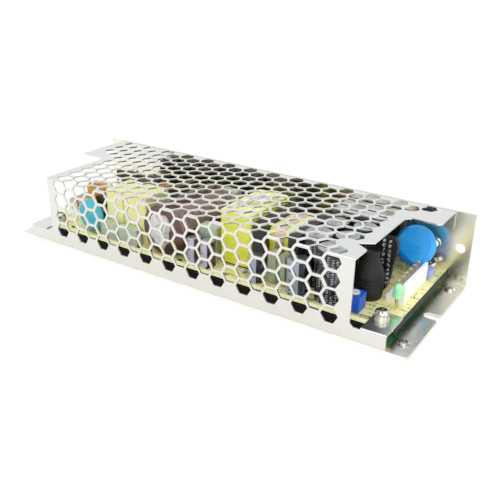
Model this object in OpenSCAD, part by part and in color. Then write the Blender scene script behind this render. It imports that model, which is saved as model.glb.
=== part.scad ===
// Power supply module: a circuit board on a folded base plate with a tall back
// wall, under a folded cover perforated with hexagonal holes.
//
// Millimetres. +Z is up, +X points to the output end, +Y to the tall back wall.
// The origin is the centre of the base plate's underside.

/* [Enclosure] */
// Length of the base plate and back wall
case_length = 192; // [192:1:230]
// Width over the front and back walls
case_width = 65; // [65:0.5:80]
// Height from the underside to the top of the cover
case_height = 32; // [32:0.5:45]
// Thickness of the base and back wall sheet
chassis_sheet = 1; // [0.8:0.1:1.2]
// Inner radius of the folds
fold_inside = 0.3; // [0.2:0.1:0.6]
// Length of each bare flange past the board
flange_length = 8; // [7:0.5:8]
// Radius of the base plate's corners
plate_corner = 1.5; // [0.5:0.5:3]

/* [Cover] */
// Thickness of the cover sheet
cover_sheet = 0.6; // [0.5:0.1:1.2]
// Seam between the cover and the chassis
cover_gap = 0.1; // [0.05:0.05:0.3]
// Height of the tabs' upper face above the underside
tab_top = 6.8; // [6.5:0.1:7.3]
// Length of each tab along the front
tab_length = 9.7; // [8:0.1:11]
// Depth of each tab behind the front face
tab_depth = 15.7; // [13:0.1:18]
// Width of the relief between a tab and the perforated wall
relief_width = 4; // [2:0.1:5]
// Height of the relief's floor under the tab's top
relief_drop = 0.5; // [0.2:0.1:1.2]
// Where the output end's ear starts, from the front face
output_ear_start = 46.5; // [44:0.5:50]
// Where the input end's ear starts, from the front face
input_ear_start = 35.4; // [33:0.1:40]
// Radius at the ear's tip
ear_tip = 1.8; // [0.5:0.1:4]
// Radius where the ear meets the top
ear_fillet = 2.4; // [0.5:0.1:4]
// Depth of the flange that goes down inside the back wall
back_flange = 7.5; // [6:0.5:9]

/* [Hole pattern] */
// Distance between holes in a column
hole_pitch = 7; // [6:0.1:8]
// Width of the web between holes
hole_web = 1; // [0.8:0.1:3]
// Shift of the pattern towards the output end
hole_shift = -0.5; // [-1:0.1:1]
// First row on the top, from the front face
first_row = 4.15; // [3.5:0.05:4.5]
// Plain strip under the lowest holes
plain_strip = 3.8; // [3:0.1:8]
// Clear sheet between an ear's front edge and its holes
ear_margin = 4.1; // [3.8:0.1:4.7]

/* [Mounting] */
// Radius of the clearance holes near the ends of the back wall
wall_hole_radius = 2; // [1.6:0.1:2.4]
// Distance of the clearance holes from the ends of the back wall
wall_hole_inset = 4.3; // [4:0.1:6]
// Radius of the threaded holes in the back wall
threaded_radius = 1.5; // [1.25:0.05:2]
// Distance of the threaded holes from the ends of the back wall
threaded_inset = 14.5; // [13:0.1:16]
// Height of both pairs of holes above the underside
wall_hole_height = 16.7; // [14:0.1:20]
// Width of the open slot in each flange
slot_width = 4.5; // [3.5:0.1:6]
// Depth of the open slot from the end of the plate
slot_depth = 6; // [5:0.1:7]

/* [Circuit board] */
// Thickness of the board
board_thickness = 1.6; // [1:0.1:2]
// Gap between the front face and the board
board_front_gap = 7.5; // [6:0.1:8]
// Gap between the board and the back wall
board_back_gap = 0.5; // [0.3:0.1:1]
// Thickness of the insulating strip on each end of the board
strip_thickness = 0.4; // [0.3:0.1:0.6]
// Distance of the end screws from the board's ends
screw_inset = 6.1; // [5:0.1:7]
// Distance of the front screws behind the front face
front_screw_depth = 11.5; // [10.5:0.1:12.5]
// Distance of the back screws from the back face
back_screw_depth = 4.6; // [4.4:0.1:6]
// Radius of the screws' threads
screw_radius = 1.45; // [1.2:0.05:1.6]
// Radius of the screws' heads
screw_head_radius = 2.75; // [2.4:0.05:2.8]

/* [Connectors] */
// Number of output pins
output_pins_count = 6; // [2:1:6]
// Distance between output pins
output_pin_pitch = 3.96; // [3.5:0.01:4]
// Number of input pins
input_pins_count = 3; // [2:1:3]
// Distance between input pins
input_pin_pitch = 7.92; // [7:0.01:8]
// Side of a square pin
pin_side = 1.14; // [0.8:0.02:1.3]
// Height of the pins above the board
pin_height = 9; // [8:0.1:10]
// Width of a header across its pins
header_width = 7; // [6:0.1:7.2]
// Height of a header's base
header_base = 2.6; // [2:0.1:4]
// Height of a header's lock wall
header_wall = 8.2; // [6:0.1:9]

/* [Trimmer] */
// Side of the trimmer's body
trimmer_side = 6.6; // [6:0.1:7]
// Height of the trimmer's body
trimmer_height = 6.2; // [5:0.1:7]
// Radius of the trimmer's rotor
rotor_radius = 2; // [1.5:0.05:2.4]
// Radial clearance round the rotor
rotor_clearance = 0.08; // [0.05:0.01:0.1]

/* [Power parts] */
// Radius of the bulk capacitor
bulk_radius = 11; // [9:0.1:11.2]
// Length of the bulk capacitor
bulk_length = 35; // [28:0.5:36]
// Height of the main transformer above the board
transformer_height = 23.2; // [20:0.1:23.3]
// Width of the main transformer along X
transformer_width = 15; // [12:0.1:15.3]
// Height of the output capacitors
output_can_height = 21; // [16:0.5:23]
// Radius of the output choke's sleeve
choke_radius = 5.6; // [5.2:0.1:6.3]
// Height of the output choke
choke_height = 19; // [16:0.1:22]
// Radius of the round ceramic capacitor
disc_radius = 8.4; // [7:0.1:9]
// Height of the heat sinks
sink_height = 22; // [18:0.1:23]

/* [Hidden] */
$fn = 40;

// Enclosure
fold_outside = fold_inside + cover_sheet;
chassis_fold = fold_inside + chassis_sheet;
front_face = -case_width / 2;
back_face = case_width / 2;
back_inside = back_face - chassis_sheet;
strip_length = case_length - 2 * flange_length;
cover_bottom = chassis_sheet + cover_gap;
cover_back = case_width - chassis_sheet - cover_gap;
plate_back = cover_back - fold_outside;
strip_end = strip_length / 2;
tab_start = strip_end - tab_length;
cover_end = tab_start - relief_width;
cover_length = 2 * cover_end;
cover_inside = case_height - cover_sheet;

// Hole pattern
hole_radius = (hole_pitch - hole_web) / sqrt(3);
hole_half = (hole_pitch - hole_web) / 2;
column_pitch = hole_pitch * sqrt(3) / 2;
last_column = floor(cover_end / column_pitch);
// A column needs its holes and one web inside the plain top
function column_x(i) = hole_shift + i * column_pitch;
function on_top(i) = abs(column_x(i)) + hole_radius + hole_web < cover_end;
// Clear sheet from a hole's centre to the notch, from a hole to an ear's corner,
// and how far a hole may reach into the fold at the back
notch_web = 5;
corner_web = 3;
fold_reach = 0.8;
// Odd columns start at first_row, and even ones half a pitch before it
function row_start(i) = first_row - (i % 2 == 0 ? hole_pitch / 2 : 0);

// Circuit board
// The tabs lie on the board, and that sets its height
tab_bottom = tab_top - cover_sheet;
board_top = tab_bottom;
board_bottom = board_top - board_thickness;
board_lift = board_bottom - chassis_sheet;
board_end = strip_end - strip_thickness;
board_front = front_face + board_front_gap;
board_back = back_inside - board_back_gap;
front_screw_y = front_face + front_screw_depth;
back_screw_y = back_face - back_screw_depth;
screw_x = board_end - screw_inset;
screw_hole = screw_radius + 0.15;
washer_flat = 0.5;
washer_spring = 0.8;
washer_radius = screw_head_radius + 0.1;
screw_head_height = 1.9;
cross_width = 0.6;
cross_length = 3;
standoff_radius = 2.9;
spigot_radius = 2.1;
flange_screw_radius = 2.15;
flange_screw_height = 0.8;
flange_screw_x = case_length / 2 - 4.3;
flange_screw_y = [front_face + 8.2, back_face - 7.6];
cover_screw_radius = 1.25;
cover_screw_head = 2.2;
cover_screw_length = chassis_sheet + cover_gap + cover_sheet + 0.2;
cover_screw_z = case_height - back_flange / 2;
cover_screw_step = cover_length * 0.4;

// Layout of the board. It is drawn for a board of 175.2 x 56 mm with 25 mm of room
// above it. The parts' places spread over the board's length and depth, and the
// parts themselves grow or shrink with the tightest of the three.
along = board_end / 87.6;
across = (board_back - board_front) / 56;
fit = min(along, across, (cover_inside - board_top) / 25);
// From the board's middle along X, and from its front edge along Y
function spot(x, y) = [x * along, board_front + y * across];

// Connectors
output_header_x = board_end - 6.9;
output_header_y = spot(0, 29.5)[1];
input_header_x = 7.1 - board_end;
input_header_y = spot(0, 22)[1];
pin_gap = 0.06;
header_wall_thickness = 1.1;

// Parts at the output end, of which two stand close behind the header
indicator_x = board_end - 4.7;
indicator_y = spot(0, 13.8)[1];
indicator_stand = 4.8;
indicator_flange = 1.95;
indicator_radius = 1.6;
indicator_height = 5.4;
lead_side = 0.5;
trimmer_x = 69.7 * along;
trimmer_y = spot(0, 5.7)[1];
rotor_pocket = 2.2;
rotor_rise = 0.35;
behind_header = output_header_x - header_width / 2;
output_choke_at = [behind_header - 1.7 - choke_radius * fit, spot(0, 17.6)[1]];
sleeved_thickness = 3.6;
sleeved_half = 6;
sleeved_at = [behind_header - 0.1 - sleeved_half * fit, spot(0, 25.6)[1]];
disc_at = spot(76, 48);
disc_lean = 25;
disc_turn = 5;
disc_thickness = 5;
disc_height = 3.4 + disc_radius * cos(disc_lean);
notch_depth = cover_end - trimmer_x + 0.4;
notch_mouth = 7.3;

// Larger parts along the board
bulk_at = spot(-16.5, 2 + bulk_length);
transformer_at = spot(14.2, 24.8);
second_at = spot(33, 24);
line_choke_at = spot(-60.4, 12.8);
fuse_at = spot(-75.6, 43.4);
primary_sink_at = spot(-29, 54.8);
secondary_sink_at = spot(55.6, 54.8);

// ---------- shared shapes ----------

// Quarter of a folded sheet along X, from the front face to the face above it,
// with a hair of each flat sheet so that the three are one piece at any size
module fold(from, to, outer, sheet) {
    hair = 0.02;
    translate([from, 0, 0])
    rotate([90, 0, 90])
    linear_extrude(to - from) {
        difference() {
            intersection() {
                circle(outer);
                translate([-outer, 0]) square(outer);
            }
            circle(outer - sheet);
        }
        translate([-outer, -hair]) square([sheet, hair]);
        translate([0, outer - sheet]) square([hair, sheet]);
    }
}

// Upright sheet drawn in X and Z, with its front face at y = 0
module upright(sheet) {
    translate([0, sheet, 0]) rotate([90, 0, 0]) linear_extrude(sheet) children();
}

// Puts a part that is drawn at full size on the board
module stand(place) {
    translate([place[0], place[1], board_top]) scale(fit) children();
}

module both_ends() {
    children();
    mirror([1, 0, 0]) children();
}

module rounded_plate(size, corner) {
    translate([corner, 0]) square([size[0] - 2 * corner, size[1]]);
    translate([0, corner]) square([size[0], size[1] - 2 * corner]);
    for (x = [corner, size[0] - corner], y = [corner, size[1] - corner])
        translate([x, y]) circle(corner);
}

// Upright block with rounded corners, centred on x and y
module block(size, corner) {
    translate([-size[0] / 2, -size[1] / 2, 0])
    linear_extrude(size[2])
    rounded_plate([size[0], size[1]], corner);
}

// Standing electrolytic capacitor with a rolled groove and a bevelled top
can_recess = 0.25;
module can(radius, height) {
    rotate_extrude($fn = 48)
    polygon([
        [0, 0], [radius - 0.3, 0], [radius, 0.4], [radius, 1.6], [radius - 0.35, 2.1],
        [radius, 2.6], [radius, height - 0.5], [radius - 0.5, height],
        [radius - 0.9, height], [radius - 0.9, height - can_recess], [0, height - can_recess]
    ]);
}

// Dipped capacitor: a lens with blunt edges, its width along X
module dipped(width, thickness, height) {
    translate([0, 0, height / 2])
    scale(height / 2)
    rotate([90, 0, 0])
    linear_extrude(thickness * 1.2 / height, center = true)
    rounded_plate_centred(2 * width / height, 2, 0.35);
    translate([0, 0, height / 2])
    rotate([90, 0, 0])
    linear_extrude(thickness, center = true)
    rounded_plate_centred(width - 1.6, height - 1.6, 1.2);
}

module rounded_plate_centred(width, height, corner) {
    translate([-width / 2, -height / 2])
    rounded_plate([width, height], min(corner, width / 2.2, height / 2.2));
}

// Pan head screw with a cross recess; z = 0 is the head's seat
module pan_screw(radius, length, head_radius, head_height) {
    translate([0, 0, -length]) cylinder(r = radius, h = length);
    difference() {
        rotate_extrude($fn = 48)
        polygon([
            [0, 0], [head_radius, 0], [head_radius, head_height * 0.45],
            [head_radius * 0.9, head_height * 0.75], [head_radius * 0.6, head_height], [0, head_height]
        ]);
        cross_recess(head_height, head_radius * 1.1);
    }
}

module cross_recess(top, length) {
    for (angle = [0, 90])
        rotate([0, 0, angle])
        translate([-length / 2, -cross_width / 2, top - 0.8])
        cube([length, cross_width, 1]);
}

module at_front_screws() {
    for (x = [-screw_x, screw_x]) translate([x, front_screw_y, tab_top]) children();
}

module at_back_screws() {
    for (x = [-screw_x, screw_x]) translate([x, back_screw_y, board_top]) children();
}

module at_flange_screws() {
    for (x = [-flange_screw_x, flange_screw_x], y = flange_screw_y)
        translate([x, y, 0]) children();
}

module at_cover_screws() {
    for (i = [-1, 0, 1])
        translate([i * cover_screw_step, back_face, cover_screw_z])
        rotate([-90, 0, 0])
        children();
}

// ---------- chassis ----------

module base_outline() {
    difference() {
        union() {
            translate([-case_length / 2, front_face + plate_corner])
            square([case_length, case_width - chassis_fold - plate_corner]);
            translate([plate_corner - case_length / 2, front_face])
            square([case_length - 2 * plate_corner, plate_corner]);
            for (side = [-1, 1])
                translate([side * (case_length / 2 - plate_corner), front_face + plate_corner])
                circle(plate_corner);
        }
        both_ends() flange_slot();
        for (x = [-screw_x, screw_x], y = [front_screw_y, back_screw_y])
            translate([x, y]) circle(spigot_radius + 0.05);
        for (x = [-flange_screw_x, flange_screw_x], y = flange_screw_y)
            translate([x, y]) circle(screw_radius + 0.05);
    }
}

// Open slot in from the end of the plate, with a rounded floor and mouth
module flange_slot() {
    half = slot_width / 2;
    mouth = 1.2;
    floor_x = case_length / 2 - slot_depth;
    translate([floor_x + half, 0]) circle(half);
    translate([floor_x + half, -half]) square([slot_depth - half + 1, slot_width]);
    difference() {
        translate([case_length / 2 - mouth, -half - mouth]) square([mouth + 1, slot_width + 2 * mouth]);
        for (side = [-1, 1])
            translate([case_length / 2 - mouth, side * (half + mouth)]) circle(mouth);
    }
}

module chassis() {
    color("gainsboro")
    difference() {
        union() {
            linear_extrude(chassis_sheet) base_outline();
            // Fold along the back, turned so that its outside is below and behind
            translate([0, back_face - chassis_fold, chassis_fold])
            rotate([180, 0, 0])
            fold(-case_length / 2, case_length / 2, chassis_fold, chassis_sheet);
            translate([0, back_inside, 0])
            upright(chassis_sheet)
            wall_outline();
            // Drawn collars of the threaded holes
            for (x = [-1, 1])
                translate([x * (case_length / 2 - threaded_inset), back_inside + 0.1, wall_hole_height])
                rotate([90, 0, 0])
                cylinder(r = threaded_radius + 0.6, h = 0.9);
        }
        for (x = [-1, 1])
            translate([x * (case_length / 2 - threaded_inset), back_face + 1, wall_hole_height])
            rotate([90, 0, 0])
            cylinder(r = threaded_radius, h = 4);
        at_cover_screws()
        translate([0, 0, -chassis_sheet])
        cylinder(r1 = cover_screw_radius + 0.1, r2 = cover_screw_head + 0.05, h = chassis_sheet);
    }
}

module wall_outline() {
    difference() {
        translate([-case_length / 2, chassis_fold]) square([case_length, case_height - chassis_fold]);
        for (x = [-1, 1])
            translate([x * (case_length / 2 - wall_hole_inset), wall_hole_height]) circle(wall_hole_radius);
    }
}

// ---------- cover ----------

// An ear on the +X side, from start to the back of the top
module ear(start) {
    difference() {
        union() {
            translate([0, start]) square([strip_end - ear_tip, plate_back - start]);
            translate([0, start + ear_tip]) square([strip_end, plate_back - start - ear_tip]);
            translate([strip_end - ear_tip, start + ear_tip]) circle(ear_tip);
            translate([cover_end, start - ear_fillet]) square(ear_fillet);
        }
        translate([cover_end + ear_fillet, start - ear_fillet]) circle(ear_fillet);
    }
}

// Access for a screwdriver to the trimmer, open at the top's output edge
module trimmer_notch() {
    y = trimmer_y - front_face;
    polygon([
        [cover_end - notch_depth, y - 0.5], [cover_end - notch_depth, y + 0.5],
        [cover_end + 0.1, y + notch_mouth / 2], [cover_end + 0.1, y - notch_mouth / 2]
    ]);
}

module top_outline() {
    difference() {
        union() {
            translate([-cover_end, fold_outside]) square([cover_length, plate_back - fold_outside]);
            ear(output_ear_start);
            mirror([1, 0]) ear(input_ear_start);
        }
        trimmer_notch();
        top_holes();
    }
}

// True where a hole in the top has sheet all round it
function hole_fits(i, x, y) =
    let (start = x > 0 ? output_ear_start : input_ear_start)
    y - hole_half > fold_outside && y + hole_half < plate_back + fold_reach
    && norm([x - (cover_end - notch_depth), y - (trimmer_y - front_face)]) > notch_web
    && (on_top(i)
        || abs(x) + hole_radius + corner_web < strip_end && y - hole_half - ear_margin > start);

module top_holes() {
    for (i = [-last_column - 2 : last_column + 2], j = [0 : floor(case_width / hole_pitch)]) {
        x = column_x(i);
        y = row_start(i) + j * hole_pitch;
        if (hole_fits(i, x, y)) translate([x, y]) circle(hole_radius, $fn = 6);
    }
}

module front_holes() {
    for (i = [-last_column : last_column], j = [1 : floor(case_height / hole_pitch) + 1]) {
        z = case_height + row_start(i) - j * hole_pitch;
        if (on_top(i) && z - hole_half > cover_bottom + plain_strip)
            translate([column_x(i), z]) circle(hole_radius, $fn = 6);
    }
}

// Holes of the even columns that lie across the front fold
module fold_holes() {
    for (i = [-last_column : last_column])
        if (i % 2 == 0 && on_top(i))
            translate([column_x(i), 0, case_height])
            rotate([45, 0, 0])
            translate([0, row_start(i) / sqrt(2), -4])
            linear_extrude(6)
            polygon([for (k = [0:5]) [hole_radius * cos(60 * k), hole_radius * sin(60 * k) / sqrt(2)]]);
}

module front_outline() {
    difference() {
        union() {
            translate([-cover_end, cover_bottom])
            square([cover_length, case_height - fold_outside - cover_bottom]);
            translate([-strip_end, cover_bottom])
            square([strip_length, tab_top - fold_outside - cover_bottom]);
            both_ends() relief();
        }
        front_holes();
    }
}

// Strip between the wall and a tab, with a rounded corner at the wall
module relief() {
    level = tab_top - relief_drop;
    corner = min(1.5, relief_width / 2);
    translate([cover_end, cover_bottom]) square([relief_width, level - cover_bottom]);
    difference() {
        translate([cover_end, level]) square(corner);
        translate([cover_end + corner, level + corner]) circle(corner);
    }
}

module tab() {
    fold_at = tab_top - fold_outside;
    translate([0, fold_outside, fold_at]) fold(tab_start, strip_end, fold_outside, cover_sheet);
    translate([0, 0, tab_bottom])
    linear_extrude(cover_sheet)
    difference() {
        union() {
            translate([tab_start, fold_outside]) square([tab_length, tab_depth - fold_outside - 1]);
            translate([tab_start + 1, fold_outside]) square([tab_length - 2, tab_depth - fold_outside]);
            for (x = [tab_start + 1, strip_end - 1]) translate([x, tab_depth - 1]) circle(1);
        }
        translate([screw_x, front_screw_depth]) circle(screw_hole + 0.1);
    }
}

module cover() {
    color("silver")
    translate([0, front_face, 0])
    difference() {
        union() {
            upright(cover_sheet) front_outline();
            translate([0, fold_outside, case_height - fold_outside])
            fold(-cover_end, cover_end, fold_outside, cover_sheet);
            translate([0, 0, cover_inside]) linear_extrude(cover_sheet) top_outline();
            // Fold at the back, mirrored front to back
            translate([0, plate_back, case_height - fold_outside])
            mirror([0, 1, 0])
            fold(-strip_end, strip_end, fold_outside, cover_sheet);
            translate([0, cover_back - cover_sheet, 0])
            upright(cover_sheet)
            back_flange_outline();
            both_ends() tab();
        }
        fold_holes();
    }
}

module back_flange_outline() {
    difference() {
        translate([-strip_end, case_height - back_flange])
        square([strip_length, back_flange - fold_outside]);
        for (i = [-1, 0, 1])
            translate([i * cover_screw_step, cover_screw_z]) circle(cover_screw_radius + 0.05);
    }
}

// ---------- board and its fixings ----------

module circuit_board() {
    color("khaki")
    translate([0, 0, board_bottom])
    linear_extrude(board_thickness)
    difference() {
        translate([-board_end, board_front])
        rounded_plate([2 * board_end, board_back - board_front], 0.8);
        for (x = [-screw_x, screw_x], y = [front_screw_y, back_screw_y])
            translate([x, y]) circle(screw_hole);
    }
}

// Insulating strip on each end of the board, turned in under its edge
module edge_strips() {
    color("black")
    both_ends() {
        translate([board_end, board_front, board_bottom - 1])
        cube([strip_thickness, board_back - board_front, board_thickness + 1]);
        translate([board_end - 1.5, board_front, board_bottom - strip_thickness])
        cube([1.5, board_back - board_front, strip_thickness]);
    }
}

// Film on the base plate between the standoffs, turned up in front of the board
module insulating_sheet() {
    film = 0.3;
    reach = screw_x - standoff_radius - 0.5;
    lip_y = board_front - 1;
    color("black") {
        translate([-reach, lip_y, chassis_sheet])
        cube([2 * reach, board_back - lip_y, film]);
        translate([-reach, lip_y, chassis_sheet])
        cube([2 * reach, film, board_lift - 0.2]);
    }
}

module board_standoffs() {
    color("lightgray")
    for (x = [-screw_x, screw_x], y = [front_screw_y, back_screw_y])
        translate([x, y, 0])
        difference() {
            union() {
                cylinder(r = spigot_radius, h = chassis_sheet);
                translate([0, 0, chassis_sheet]) cylinder(r = standoff_radius, h = board_lift);
            }
            translate([0, 0, -1]) cylinder(r = screw_radius + 0.05, h = board_bottom + 2);
        }
}

module flat_washers() {
    color("silver") {
        at_front_screws() flat_washer();
        at_back_screws() flat_washer();
    }
}

module flat_washer() {
    difference() {
        cylinder(r = washer_radius, h = washer_flat);
        translate([0, 0, -1]) cylinder(r = screw_radius + 0.1, h = 3);
    }
}

// Split spring washer, drawn flat as it is when tightened
module spring_washers() {
    color("darkgray") {
        at_front_screws() spring_washer();
        at_back_screws() spring_washer();
    }
}

module spring_washer() {
    translate([0, 0, washer_flat])
    difference() {
        cylinder(r = washer_radius - 0.25, h = washer_spring);
        translate([0, 0, -1]) cylinder(r = screw_radius + 0.1, h = 3);
        rotate([0, 0, 30]) translate([0, -0.2, -1]) cube([washer_radius, 0.4, 3]);
    }
}

module board_screws() {
    stack = washer_flat + washer_spring;
    color("silver") {
        at_front_screws()
        translate([0, 0, stack])
        pan_screw(screw_radius, stack + tab_top - 0.3, screw_head_radius, screw_head_height);
        at_back_screws()
        translate([0, 0, stack])
        pan_screw(screw_radius, stack + board_top - 0.3, screw_head_radius, screw_head_height);
    }
}

module flange_screws() {
    color("silver")
    at_flange_screws()
    translate([0, 0, chassis_sheet])
    pan_screw(screw_radius, chassis_sheet, flange_screw_radius, flange_screw_height);
}

module cover_screws() {
    color("silver")
    at_cover_screws() {
        difference() {
            translate([0, 0, -chassis_sheet])
            cylinder(r1 = cover_screw_radius, r2 = cover_screw_head, h = chassis_sheet);
            cross_recess(0.3, 2.4);
        }
        translate([0, 0, -cover_screw_length])
        cylinder(r = cover_screw_radius, h = cover_screw_length - chassis_sheet);
    }
}

// ---------- connectors ----------

// Pin header along Y with its lock wall on the +X side
module header(count, pitch) {
    length = (count - 1) * pitch + 3.9;
    hole = pin_side + 2 * pin_gap;
    difference() {
        union() {
            translate([-header_width / 2, -length / 2, 0]) cube([header_width, length, header_base]);
            translate([header_width / 2 - header_wall_thickness, -length / 2, 0])
            cube([header_wall_thickness, length, header_wall]);
            // Ribs that guide the plug between the pins
            for (side = [-1, 1])
                translate([header_width / 2 - header_wall_thickness - 0.8, side * length * 0.3 - 0.5, 0])
                cube([1, 1, header_wall * 0.7]);
        }
        at_pins(count, pitch) translate([0, 0, header_base]) cube([hole, hole, 4 * header_base], center = true);
        // Shallow foot channels across the underside
        for (i = [0.5 : 1 : count - 1.5])
            translate([-header_width, (i - (count - 1) / 2) * pitch - 0.5, -0.01])
            cube([header_width * 2, 1, 0.4]);
    }
}

module at_pins(count, pitch) {
    for (i = [0 : count - 1])
        translate([0, (i - (count - 1) / 2) * pitch, 0]) children();
}

// Square pin with a chamfered tip
module pin() {
    translate([-pin_side / 2, -pin_side / 2, 0]) cube([pin_side, pin_side, pin_height - 0.6]);
    translate([0, 0, pin_height - 0.6])
    rotate([0, 0, 45])
    cylinder(r1 = pin_side / sqrt(2), r2 = pin_side * 0.4, h = 0.6, $fn = 4);
}

module output_header() {
    color("ivory")
    translate([output_header_x, output_header_y, board_top])
    header(output_pins_count, output_pin_pitch);
}

module output_pins() {
    color("silver")
    translate([output_header_x, output_header_y, board_top])
    at_pins(output_pins_count, output_pin_pitch)
    pin();
}

module input_header() {
    color("ivory")
    translate([input_header_x, input_header_y, board_top])
    mirror([1, 0, 0])
    header(input_pins_count, input_pin_pitch);
}

module input_pins() {
    color("silver")
    translate([input_header_x, input_header_y, board_top])
    at_pins(input_pins_count, input_pin_pitch)
    pin();
}

module indicator_lens() {
    color("lightgreen")
    translate([indicator_x, indicator_y, board_top + indicator_stand])
    rotate_extrude($fn = 32)
    polygon(concat(
        [[0, 0], [indicator_flange, 0], [indicator_flange, 1], [indicator_radius, 1]],
        [for (a = [0 : 15 : 90])
            [indicator_radius * cos(a), indicator_height - indicator_radius + indicator_radius * sin(a)]]
    ));
}

module indicator_leads() {
    color("silver")
    for (side = [-1, 1])
        translate([indicator_x, indicator_y + side * 1.0, board_top + indicator_stand / 2])
        cube([lead_side, lead_side, indicator_stand], center = true);
}

module trimmer_body() {
    color("royalblue")
    translate([trimmer_x, trimmer_y, board_top])
    difference() {
        block([trimmer_side, trimmer_side, trimmer_height], 0.5);
        translate([0, 0, trimmer_height - rotor_pocket])
        cylinder(r = rotor_radius + rotor_clearance, h = rotor_pocket + 1);
    }
}

// Rotor with a screwdriver slot; it turns about its own axis
module trimmer_rotor() {
    color("white")
    translate([trimmer_x, trimmer_y, board_top + trimmer_height - rotor_pocket])
    difference() {
        cylinder(r = rotor_radius, h = rotor_pocket + rotor_rise);
        rotate([0, 0, 25])
        translate([-rotor_radius - 1, -0.35, rotor_pocket + rotor_rise - 0.7])
        cube([2 * rotor_radius + 2, 0.7, 2]);
    }
}

// ---------- parts at the output end ----------

// Drum choke in a heat-shrink sleeve, which is ribbed over the winding and necked above it
module output_choke() {
    neck = choke_radius * 0.56;
    color("dimgray")
    stand(output_choke_at)
    rotate_extrude($fn = 64)
    polygon([
        [0, 0], [choke_radius - 0.4, 0], [choke_radius - 0.2, 1],
        [choke_radius, 3.4], [choke_radius - 0.15, 4], [choke_radius, 4.6],
        [choke_radius - 0.15, 5.2], [choke_radius, 5.8], [choke_radius - 0.15, 6.4],
        [choke_radius, 7], [choke_radius - 0.15, 7.6], [choke_radius, 8.2],
        [choke_radius, 9.6], [choke_radius - 0.5, 11.2], [neck + 1.2, 13],
        [neck + 0.3, choke_height - 4], [neck, choke_height - 2.6], [neck, choke_height],
        [neck - 0.5, choke_height], [neck - 0.5, choke_height - 0.8], [0, choke_height - 0.8]
    ]);
}

// Thermistor disc in a flat sleeve that narrows to its leads
module sleeved_disc() {
    color("dimgray")
    stand(sleeved_at)
    rotate([90, 0, 0])
    for (layer = [[1, 0], [0.84, 0.15], [0.62, 0.5]])
        linear_extrude(sleeved_thickness * layer[0], center = true)
        sleeved_outline(0.5 - layer[1]);
}

// Height and half width up its sides
sleeved_sides = [
    [0, 2.2], [3, 3.5], [6, 4.1], [10, 4.5], [14, 5.2],
    [16.5, 5.8], [18.5, sleeved_half], [20.5, 5.7], [22, 4.6]
];
module sleeved_outline(inset)
    polygon([
        for (side = [-1, 1], i = [0 : len(sleeved_sides) - 1])
            let (at = sleeved_sides[side < 0 ? i : len(sleeved_sides) - 1 - i])
            [side * (at[1] - inset), at[0]]
    ]);

// Epoxy-coated disc about its own axis
module disc_body(radius, thickness) {
    rotate_extrude($fn = 72)
    polygon([
        [0, -thickness / 2], [radius * 0.8, -thickness / 2], [radius * 0.95, -thickness * 0.27],
        [radius, 0], [radius * 0.95, thickness * 0.27], [radius * 0.8, thickness / 2], [0, thickness / 2]
    ]);
}

// Ceramic capacitor that leans back towards the back wall
module ceramic_disc() {
    color("dodgerblue") stand(disc_at) leaning_disc();
}

module leaning_disc() {
    translate([0, 0, disc_height])
    rotate([0, 90 - disc_lean, disc_turn - 90])
    disc_body(disc_radius, disc_thickness);
}

// Two leads along Y that go up to the edge of a disc
module lead_pair(spread, height) {
    for (side = [-1, 1])
        translate([0, side * spread, 0]) cylinder(r = 0.4, h = height, $fn = 16);
}

// The leads of the three discs, each cut off where its disc's coating starts
module disc_leads() {
    spread = 2.54;
    below = sqrt(disc_radius * disc_radius - spread * spread);
    color("silver") {
        stand(disc_at)
        difference() {
            rotate([0, 0, disc_turn - 90])
            translate([below * sin(disc_lean), 0, 0])
            lead_pair(spread, disc_height - below * cos(disc_lean) + 1);
            leaning_disc();
        }
        stand(varistor_at)
        difference() {
            rotate([0, 0, 90 + varistor_turn]) lead_pair(spread, 3);
            upright_varistor();
        }
        stand(thermistor_at)
        difference() {
            lead_pair(2.5, 3);
            upright_thermistor();
        }
    }
}

// ---------- input filter ----------

disc_stand = 0.5;
varistor_at = spot(-60, 3.6);
varistor_radius = 7.4;
varistor_turn = -8;
module varistor() {
    color("deepskyblue") stand(varistor_at) upright_varistor();
}

module upright_varistor() {
    translate([0, 0, disc_stand + varistor_radius])
    rotate([90, 0, varistor_turn])
    disc_body(varistor_radius, 4.4);
}

thermistor_at = spot(-65.6, 46);
thermistor_radius = 6.5;
module thermistor() {
    color("darkolivegreen") stand(thermistor_at) upright_thermistor();
}

module upright_thermistor() {
    translate([0, 0, disc_stand + thermistor_radius])
    rotate([0, 90, 0])
    disc_body(thermistor_radius, 4.5);
}

// Ring core of the common-mode choke on a foot between its windings
choke_ring = 6.2;
choke_hole = 3.6;
choke_core_depth = 5.4;
choke_ring_height = 8.4;
module line_choke_core() {
    foot_width = 3.4;
    color("darkslategray")
    stand(line_choke_at)
    rotate([90, 0, 0])
    linear_extrude(choke_core_depth, center = true)
    difference() {
        union() {
            translate([0, choke_ring_height]) circle(choke_ring, $fn = 64);
            translate([-foot_width / 2, 0]) square([foot_width, choke_ring / 2]);
        }
        translate([0, choke_ring_height]) circle(choke_hole, $fn = 64);
    }
}

// Two windings of flat loops round the ring, one on each side
module line_choke_winding() {
    wire = 0.9;
    gap = 0.05;
    across_ring = choke_ring - choke_hole + 2 * gap;
    through_ring = choke_core_depth + 2 * gap;
    color("peru")
    stand(line_choke_at)
    translate([0, 0, choke_ring_height])
    for (side = [0, 180], turn = [-3 : 3])
        rotate([0, side + turn * 22, 0])
        translate([(choke_ring + choke_hole) / 2, 0, 0])
        linear_extrude(wire, center = true)
        difference() {
            square([across_ring + 2 * wire, through_ring + 2 * wire], center = true);
            square([across_ring, through_ring], center = true);
        }
}

module dipped_capacitors() {
    color("goldenrod")
    stand(spot(-70.2, 20.2)) dipped(13, 6, 16.5);
    color("darkseagreen") {
        stand(spot(34.8, 7.2)) dipped(5, 5, 13.5);
        stand(spot(39.6, 7.2)) dipped(3.8, 5, 13.5);
    }
}

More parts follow.
